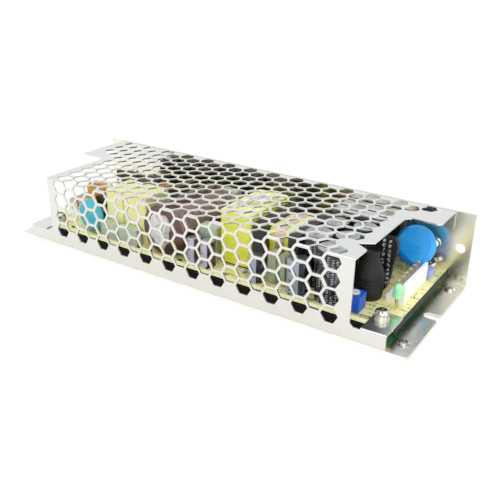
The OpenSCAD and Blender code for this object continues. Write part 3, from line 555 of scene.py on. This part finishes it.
choke_sleeve = shrink_sleeve(
    "choke_sleeve", "output_choke", (0.009, 0.008, 0.008), (0.016, 0.014, 0.013),
)
black_sleeve = shrink_sleeve(
    "black_sleeve", "sleeved_disc", (0.006, 0.006, 0.006), (0.012, 0.012, 0.013),
)
light_blue = moulded(
    "light_blue_epoxy", (0.05, 0.46, 0.60), (0.08, 0.55, 0.70), (0.16, 0.28), 0.3, 0.1,
)
dark_green = moulded(
    "dark_green_epoxy", (0.05, 0.08, 0.03), (0.08, 0.12, 0.05), (0.3, 0.45), 0.4, 0.1,
)
wear("output_choke", choke_sleeve)
wear("sleeved_disc", black_sleeve)
wear("ceramic_disc", disc_epoxy())
wear("varistor", light_blue)
wear("thermistor", dark_green)

# ---------------------------------------------------------------- filter and chokes
# Pale yellow boxed capacitors over grey-green ones, dipped capacitors, and two chokes
# of enamelled wire. The transformers' cores are of the same dark ferrite.

ferrite = moulded(
    "ferrite", (0.020, 0.020, 0.020), (0.045, 0.043, 0.040), (0.4, 0.6), 1.5, 0.03,
)
CORES = (
    "line_choke_core", "main_transformer_core", "second_transformer_core", "boost_choke_core",
)
for name in CORES:
    wear(name, ferrite)
copper_enamel = plated_metal("copper_enamel", (0.55, 0.20, 0.05), (0.78, 0.36, 0.12), 0.2, 0.35)
salmon_enamel = plated_metal("salmon_enamel", (0.72, 0.30, 0.14), (0.90, 0.50, 0.32), 0.2, 0.35)
wear("line_choke_winding", copper_enamel)
wear("boost_choke_winding", salmon_enamel)


def dipped_coat():
    """Mustard epoxy on the one by the input, and grey-green on the two in the middle."""
    finish = Finish("dipped_epoxy")
    point = finish.place()
    cloud = finish.spread(finish.noise(point, 0.3, 3), 0.3, 0.7)
    mustard = finish.mix(cloud, (0.52, 0.25, 0.02), (0.66, 0.34, 0.04))
    grey_green = finish.mix(cloud, (0.30, 0.33, 0.20), (0.40, 0.43, 0.28))
    finish.set(base_color=finish.mix(finish.axis(point, "X") > 0, mustard, grey_green))
    finish.set(roughness=finish.spread(cloud, 0, 1, 0.15, 0.28))
    finish.bumps(cloud, 0.1, 0.4)
    return finish


wear("dipped_capacitors", dipped_coat())
yellow_box = moulded("yellow_box", (0.88, 0.84, 0.34), (0.95, 0.92, 0.46), (0.22, 0.34))
wear("box_capacitors", yellow_box)
grey_green = moulded("grey_green_box", (0.48, 0.55, 0.42), (0.58, 0.65, 0.50), (0.22, 0.34))
wear("small_box_capacitors", grey_green)

# ---------------------------------------------------------------- electrolytic capacitors
# Aluminium cans in printed shrink sleeve, turned over at the rim round a bare lid
# that is scored with a cross. The largest lies on its side with its lid to the front.

# Heights above a can's base: where the sleeve starts, and round the pinch
SLEEVE_START, PINCH_LOW, PINCH, PINCH_HIGH = 0.0004, 0.0016, 0.0021, 0.0026
# The base and the pinch, as shares of the can's radius
BASE_SHARE, PINCH_SHARE = 0.95, 0.93
RIM_ROUNDING, RIM_WIDTH, RIM_STEP = 0.0005, 0.0007, 0.00005
LID_DROP, LID_GROOVE, LID_RISE = 0.00025, 0.0006, 0.0001
# The lid starts this far inside the can's side, and is this close to its top
LID_INSET, LID_DEPTH = 0.0011, 0.001


def ring_cut(height):
    bpy.ops.mesh.select_all(action="SELECT")
    bpy.ops.mesh.bisect(plane_co=(0, 0, height), plane_no=(0, 0, 1))


def can_body(name, radius, height, sleeve, lid):
    """A can that stands on z = 0: its sleeve is pinched above the base and at the rim."""
    deselect()
    bpy.ops.mesh.primitive_cylinder_add(
        vertices=48, radius=radius, depth=height, location=(0, 0, height / 2),
    )
    can = bpy.context.object
    can.name = name
    bpy.ops.object.transform_apply(location=True)
    bpy.ops.object.mode_set(mode="EDIT")
    for level in (SLEEVE_START, PINCH_LOW, PINCH, PINCH_HIGH):
        ring_cut(level)
    bpy.ops.mesh.select_all(action="DESELECT")
    select_faces(can, lambda centre, normal: normal.z < -0.9)
    bpy.ops.transform.resize(value=(BASE_SHARE, BASE_SHARE, 1))
    mesh = bmesh.from_edit_mesh(can.data)
    for vertex in mesh.verts:
        vertex.select_set(abs(vertex.co.z - PINCH) < 1e-6)
    bmesh.update_edit_mesh(can.data)
    bpy.ops.transform.resize(value=(PINCH_SHARE, PINCH_SHARE, 1))
    select_faces(can, lambda centre, normal: normal.z > 0.9)
    bpy.ops.mesh.bevel(offset=RIM_ROUNDING, segments=3, affect="EDGES")
    select_faces(can, lambda centre, normal: normal.z > 0.99 and centre.z > height - 1e-5)
    bpy.ops.mesh.inset(thickness=RIM_WIDTH)
    bpy.ops.mesh.inset(thickness=RIM_STEP)
    bpy.ops.transform.translate(value=(0, 0, -LID_DROP))
    bpy.ops.mesh.inset(thickness=LID_GROOVE)
    bpy.ops.transform.translate(value=(0, 0, LID_RISE))
    bpy.ops.object.mode_set(mode="OBJECT")
    bpy.ops.object.shade_smooth_by_angle(angle=math.radians(35))

    def on_lid(centre, normal):
        return centre.z > height - LID_DEPTH and Vector(centre[:2]).length < radius - LID_INSET

    # On the side, u runs once round and v is the height in mm; on the lid both are radii
    wrap = can.data.uv_layers.new(name="sleeve")
    can.data.uv_layers.active = wrap
    can.data.materials.append(sleeve.material)
    paint_faces(can, lid, on_lid)
    for face in can.data.polygons:
        middle = math.atan2(face.center.y, face.center.x)
        for corner in face.loop_indices:
            spot = can.data.vertices[can.data.loops[corner].vertex_index].co
            if face.material_index:
                wrap.data[corner].uv = (spot.x / radius, spot.y / radius)
            else:
                turn = math.atan2(spot.y, spot.x)
                turn += math.tau * round((middle - turn) / math.tau)
                wrap.data[corner].uv = (turn / math.tau, spot.z / MM)
    return can


def move_mesh(piece, matrix):
    piece.data.transform(matrix)
    piece.data.update()


def dress(piece, node):
    """The piece stands for a CAD node: it joins the supply body, and the node is hidden."""
    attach(piece, "supply")
    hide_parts(node)


def printed_sleeve(
    name, body, stripe, radius, stripe_at=0.70, stripe_half=0.13, print_weight=0.6, coat=0.3,
):
    """Shrink sleeve with a pale stripe of minus signs, and meaningless strokes elsewhere."""
    finish = Finish(name, coat_weight=coat, coat_roughness=0.1)
    uv = finish.node("UVMap", {"uv_map": "sleeve"})
    u = finish.axis(uv, "X")
    v = finish.axis(uv, "Y")
    cloud = finish.noise(finish.place(), 0.5, 3)
    away = abs((u - (stripe_at - 0.5)).wrap(1.0) - 0.5)
    minus = (away < 0.035) * (abs(v.wrap(4.0) - 2.0) < 0.3)
    round_mm = u * (math.tau * radius / MM)
    flat = finish.node("CombineXYZ", values={0: round_mm, 1: v})
    # Columns of short strokes, in clusters with bare sleeve between them
    columns = (abs(round_mm.wrap(1.7) - 0.85) < 0.55) * (away > 0.2)
    strokes = (v.wrap(0.95) < 0.6) * (finish.noise(flat, 2.2, 0) > 0.47)
    clusters = finish.noise(flat, 0.22, 0) > 0.5
    base = finish.mix(cloud, body, tuple(c * 1.5 for c in body))
    ink = tuple(0.25 + 0.5 * c for c in stripe)
    printed = finish.mix(columns * strokes * clusters * print_weight, base, ink)
    band = finish.mix(minus, stripe, tuple(c * 0.25 for c in stripe))
    finish.set(base_color=finish.mix(away < stripe_half, printed, band))
    finish.set(roughness=finish.spread(cloud, 0.3, 0.7, 0.14, 0.26))
    finish.bumps(cloud, 0.05, 0.4)
    return finish


def scored_lid(name, metal):
    """Bare lid with a cross scored in it, so that it can vent."""
    finish = Finish(name, metallic=1.0)
    uv = finish.node("UVMap", {"uv_map": "sleeve"})
    x = finish.axis(uv, "X")
    y = finish.axis(uv, "Y")
    inside = (x * x + y * y).root() < 0.6
    score_groove_and_shade = (abs(x) < 0.035).at_least(abs(y) < 0.035) * inside
    cloud = finish.noise(finish.place(), 1.2, 3)
    face = finish.mix(cloud, metal, tuple(c * 0.8 for c in metal))
    # Painted shade: the scored cross is darker, as the shade in its groove; its bump is the real
    # groove
    finish.set(base_color=finish.mix(score_groove_and_shade * 0.6, face, (0.12, 0.12, 0.12)))
    finish.set(roughness=finish.spread(cloud, 0.3, 0.7, 0.28, 0.42))
    finish.bumps(1 - score_groove_and_shade, 0.15, 0.8)
    return finish


def solids(node):
    """Boxes of a node's separate solids, from left to right: (low, high) of each."""
    owner = {}

    def find(spot):
        while owner[spot] != spot:
            owner[spot] = owner[owner[spot]]
            spot = owner[spot]
        return spot

    mesh = nodes[node].data
    to_world = nodes[node].matrix_world
    spots = [tuple(round(c, 7) for c in to_world @ vertex.co) for vertex in mesh.vertices]
    for face in mesh.polygons:
        corners = [spots[number] for number in face.vertices]
        for corner in corners:
            owner.setdefault(corner, corner)
            owner[find(corner)] = find(corners[0])
    found = {}
    for spot in owner:
        low, high = found.setdefault(find(spot), (list(spot), list(spot)))
        for i in range(3):
            low[i] = min(low[i], spot[i])
            high[i] = max(high[i], spot[i])
    boxes = [(Vector(low), Vector(high)) for low, high in found.values()]
    return sorted(boxes, key=lambda box: box[0].x)


def stand_cans(name, node, sleeve_of):
    """A can for each solid of the node, all joined to one piece."""
    made = []
    for number, (low, high) in enumerate(solids(node)):
        radius = (high.x - low.x) / 2
        can = can_body(name, radius, high.z - low.z, sleeve_of(number, radius), bare_lid)
        move_mesh(can, Matrix.Translation(((low.x + high.x) / 2, (low.y + high.y) / 2, low.z)))
        made.append(can)
    dress(join(made, name), node)


SMALL_RADIUS, WIDE_RADIUS, OUTPUT_RADIUS = 0.00315, 0.0045, 0.0058
# A can from this radius on wears the wide sleeve
WIDE_FROM = 0.004
SLATE, PALE_SLATE = (0.010, 0.012, 0.018), (0.36, 0.42, 0.50)
bare_lid = scored_lid("scored_lid", (0.62, 0.63, 0.64))
violet = printed_sleeve(
    "violet_sleeve", (0.045, 0.012, 0.022), (0.56, 0.54, 0.66), SMALL_RADIUS,
)
slate = printed_sleeve("slate_sleeve", SLATE, PALE_SLATE, SMALL_RADIUS)
wide_slate = printed_sleeve("wide_slate_sleeve", SLATE, PALE_SLATE, WIDE_RADIUS)
output_black = printed_sleeve(
    "output_sleeve", (0.005, 0.006, 0.009), (0.52, 0.60, 0.74), OUTPUT_RADIUS,
    stripe_at=0.45, stripe_half=0.02, print_weight=0.8,
)


def small_sleeve(number, radius):
    """The two nearest the input are violet, and the others slate, the wide one too."""
    if number < 2:
        return violet
    return slate if radius < WIDE_FROM else wide_slate


stand_cans("small_cans", "small_capacitors", small_sleeve)
stand_cans("output_cans", "output_capacitors", lambda number, radius: output_black)

bulk_low, bulk_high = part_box("bulk_capacitor")
bulk_mid = (bulk_low + bulk_high) / 2
bulk_radius = (bulk_high.x - bulk_low.x) / 2
brown = printed_sleeve(
    "brown_sleeve", (0.055, 0.010, 0.009), (0.26, 0.17, 0.15), bulk_radius,
    stripe_at=0.1, stripe_half=0.08, print_weight=0.25, coat=0.05,
)
brown_lid = scored_lid("brown_lid", (0.20, 0.12, 0.11))
bulk_can = can_body("bulk_can", bulk_radius, bulk_high.y - bulk_low.y, brown, brown_lid)
move_mesh(bulk_can, Matrix.Rotation(math.radians(90), 4, "X"))
move_mesh(bulk_can, Matrix.Translation((bulk_mid.x, bulk_high.y, bulk_mid.z)))
dress(bulk_can, "bulk_capacitor")

# ---------------------------------------------------------------- silicone
# White silicone, squeezed on by hand: a folded bead over the lying can's lid, small
# dabs that hold the tall parts to the board, and a smear on the main transformer.


def silicone():
    finish = Finish("white_silicone", subsurface_weight=0.3, subsurface_scale=0.001)
    cloud = finish.noise(finish.place(), 0.5, 4)
    folds = abs(finish.noise(finish.place(), 0.16, 1) - 0.5)
    crease_and_shade = 1 - finish.spread(folds, 0.0, 0.022)
    skin = finish.mix(cloud, (0.66, 0.65, 0.64), (0.82, 0.81, 0.81))
    # Painted shade: the creases of the folds are darkened; they also shape the bumps
    finish.set(base_color=finish.mix(crease_and_shade * 0.75, skin, (0.16, 0.15, 0.15)))
    finish.set(roughness=finish.spread(cloud, 0.3, 0.7, 0.22, 0.4))
    finish.bumps(cloud - crease_and_shade, 0.3, 0.6)
    return finish


white_silicone = silicone()


def bead(name, place, size, seed, folds):
    """A blob of silicone: a sphere that is folded by crossing waves and stretched."""
    deselect()
    bpy.ops.mesh.primitive_ico_sphere_add(subdivisions=4, radius=1, location=(0, 0, 0))
    blob = bpy.context.object
    blob.name = name
    rng = random.Random(seed)
    shift = Vector((rng.uniform(0, 9), rng.uniform(0, 9), rng.uniform(0, 9)))
    for vertex in blob.data.vertices:
        x, z = vertex.co.x, vertex.co.z
        wave = math.sin(3.1 * x + 2.3 * z + shift.x) * math.sin(2.7 * z - 1.9 * x + shift.y)
        fold = 1 - abs(math.sin(2.2 * x - 1.3 * z + shift.z)) ** 0.5
        vertex.co *= 1 + folds * (0.35 * wave - 0.6 * fold)
    move_mesh(blob, Matrix.Diagonal((*size, 1)))
    move_mesh(blob, Matrix.Translation(place))
    bpy.ops.object.shade_smooth()
    blob.data.materials.append(white_silicone.material)
    return blob


bead_low, bead_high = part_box("silicone_bead")
bead_mid = (bead_low + bead_high) / 2
bead_half = (bead_high - bead_low) / 2
main_bead = bead(
    "lid_bead", (bead_mid.x - 0.3 * MM, bead_high.y - 0.4 * MM, bead_mid.z),
    (bead_half.x * 0.86, bead_half.y * 1.35, bead_half.z * 0.95), seed=5, folds=0.42,
)
# Its back is cut flat where it lies on the lid
deselect()
main_bead.select_set(True)
bpy.context.view_layer.objects.active = main_bead
bpy.ops.object.mode_set(mode="EDIT")
bpy.ops.mesh.select_all(action="SELECT")
bpy.ops.mesh.bisect(
    plane_co=(0, bead_high.y, 0), plane_no=(0, 1, 0), clear_outer=True, use_fill=True,
)
bpy.ops.object.mode_set(mode="OBJECT")
dress(main_bead, "silicone_bead")

# Distance from the board's left end and from its front, and half width, in millimetres
DABS = (
    (60.5, 8.0, 2.2), (79.3, 9.0, 2.4), (112.5, 10.2, 1.8), (129.5, 9.0, 2.0), (140.1, 11.6, 2.2),
    (150.9, 13.6, 2.0), (43.5, 4.0, 1.8), (28.9, 6.6, 2.0), (140.3, 25.4, 2.4), (108.1, 7.0, 1.6),
)
DAB_HALF_HEIGHT, DAB_LIFT = 1.2 * MM, 0.5 * MM
dabs = []
for number, (along, back, wide) in enumerate(DABS):
    spot = (board_low.x + along * MM, board_low.y + back * MM, board_top + DAB_LIFT)
    size = (wide * MM, wide * 0.8 * MM, DAB_HALF_HEIGHT)
    dabs.append(bead("dab", spot, size, seed=20 + number, folds=0.25))
board_dabs = join(dabs, "board_dabs")
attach(board_dabs, "supply")

# The smear crosses the tape from its left front to its right back, in five flat blobs
SMEAR_HALF_SIZE = (3.1 * MM, 1.6 * MM, 0.42 * MM)
tape_low, tape_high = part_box("main_transformer")
smears = []
for number in range(5):
    share = 0.18 + 0.15 * number
    x, y = (low + share * (high - low) for low, high in zip(tape_low[:2], tape_high[:2]))
    spot = (x, y, tape_high.z)
    smears.append(bead("smear", spot, SMEAR_HALF_SIZE, seed=50 + number, folds=0.3))
tape_smears = join(smears, "tape_smears")
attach(tape_smears, "supply")

# ---------------------------------------------------------------- transformers and wires
# Two transformers, wound and then wrapped in yellow polyester tape. The second has a
# band of bare copper foil round it, and the lead-out wires are in pale sleeves.


def tape(name, node):
    """Polyester tape in overlapping turns, with a painted highlight that makes the top paler."""
    finish = Finish(name, coat_weight=0.3, coat_roughness=0.15)
    point = finish.place()
    z = finish.axis(point, "Z")
    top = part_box(node)[1].z / MM
    cloud = finish.noise(point, 0.3, 3)
    side = finish.mix(cloud, (0.78, 0.80, 0.05), (0.90, 0.91, 0.12))
    lap = z.wrap(4.5) < 0.14
    side = finish.mix(lap * 0.5, side, (0.45, 0.46, 0.02))
    # Painted light: the top of the tape is paler, as lit from above
    painted_lit_crown = finish.mix(cloud, (0.90, 0.90, 0.30), (0.96, 0.95, 0.46))
    finish.set(base_color=finish.mix(z > top - 0.05, side, painted_lit_crown))
    finish.set(roughness=finish.spread(cloud, 0.3, 0.7, 0.16, 0.32))
    finish.bumps(cloud + 0.5 * lap, 0.12, 0.4)
    return finish


wear("main_transformer", tape("main_tape", "main_transformer"))
wear("second_transformer_winding", tape("second_tape", "second_transformer_winding"))
bare_copper = plated_metal("bare_copper", (0.90, 0.62, 0.50), (0.96, 0.74, 0.62), 0.3, 0.45)
wear("copper_band", bare_copper)
wear("transformer_wires", moulded("pale_sleeve", (0.84, 0.76, 0.71), (0.93, 0.89, 0.86)))

# ---------------------------------------------------------------- heat sinks and small parts
# Two aluminium heat sinks, one anodised black and one plain, the black moulded parts on
# them and on the board, the ceramic fuse, and resistors with code bands.

black_anodising = moulded(
    "black_anodising", (0.010, 0.010, 0.010), (0.018, 0.018, 0.018), metallic=0.3,
)
aluminium = plated_metal("rolled_aluminium", (0.74, 0.74, 0.70), (0.86, 0.86, 0.82), 0.25, 0.4)
wear("primary_heat_sink", black_anodising)
wear("secondary_heat_sink", aluminium)

CASE_BLACK = ((0.014, 0.014, 0.015), (0.026, 0.026, 0.027))


def chip_cases():
    """Black moulded cases, and one pale ceramic part behind the output header."""
    finish = Finish("chip_case")
    point = finish.place()
    cloud = finish.noise(point, 1.2, 4)
    pale = finish.axis(point, "X") > 70.0
    finish.set(base_color=finish.mix(pale, finish.mix(cloud, *CASE_BLACK), (0.40, 0.46, 0.78)))
    finish.set(roughness=finish.spread(cloud, 0.3, 0.7, 0.4, 0.55))
    finish.bumps(cloud, 0.02, 0.4)
    return finish


wear("chips", chip_cases())
for name in ("power_transistors", "output_rectifiers", "bridge_rectifier", "diodes"):
    wear(name, moulded(name + "_case", *CASE_BLACK, (0.4, 0.55)))
wear("fuse_tube", moulded("fuse_ceramic", (0.80, 0.76, 0.66), (0.88, 0.85, 0.78)))

# Place of each band's middle, as a share of the resistor's length from its centre
BROWN_BAND, BLACK_BAND, RED_BAND = (0.16, 0.05, 0.02), (0.02, 0.02, 0.02), (0.50, 0.04, 0.02)
CODE_BANDS = ((-0.22, BROWN_BAND), (-0.04, BLACK_BAND), (0.14, RED_BAND))
BAND_HALF = 0.07


def banded_coat():
    """Tan coat with three code bands across each resistor's long side."""
    finish = Finish("resistor_coat", roughness=0.4)
    point = finish.place()
    cloud = finish.noise(point, 1.2, 4)
    colour = finish.mix(cloud, (0.50, 0.38, 0.22), (0.62, 0.50, 0.32))
    for low, high in solids("resistors"):
        size = (high - low) / MM
        long_axis = max(range(3), key=lambda i: size[i])
        long = size[long_axis]
        middle = (low + high) / 2 / MM
        near = finish.node("VectorMath", {"operation": "DISTANCE"}, {0: point, 1: middle}, 1)
        along = finish.axis(point, "XYZ"[long_axis]) - middle[long_axis]
        for share, tone in CODE_BANDS:
            band = (abs(along - share * long) < BAND_HALF * long) * (near < long / 2)
            colour = finish.mix(band, colour, tone)
    finish.set(base_color=colour)
    finish.bumps(cloud, 0.02, 0.4)
    return finish


wear("resistors", banded_coat())
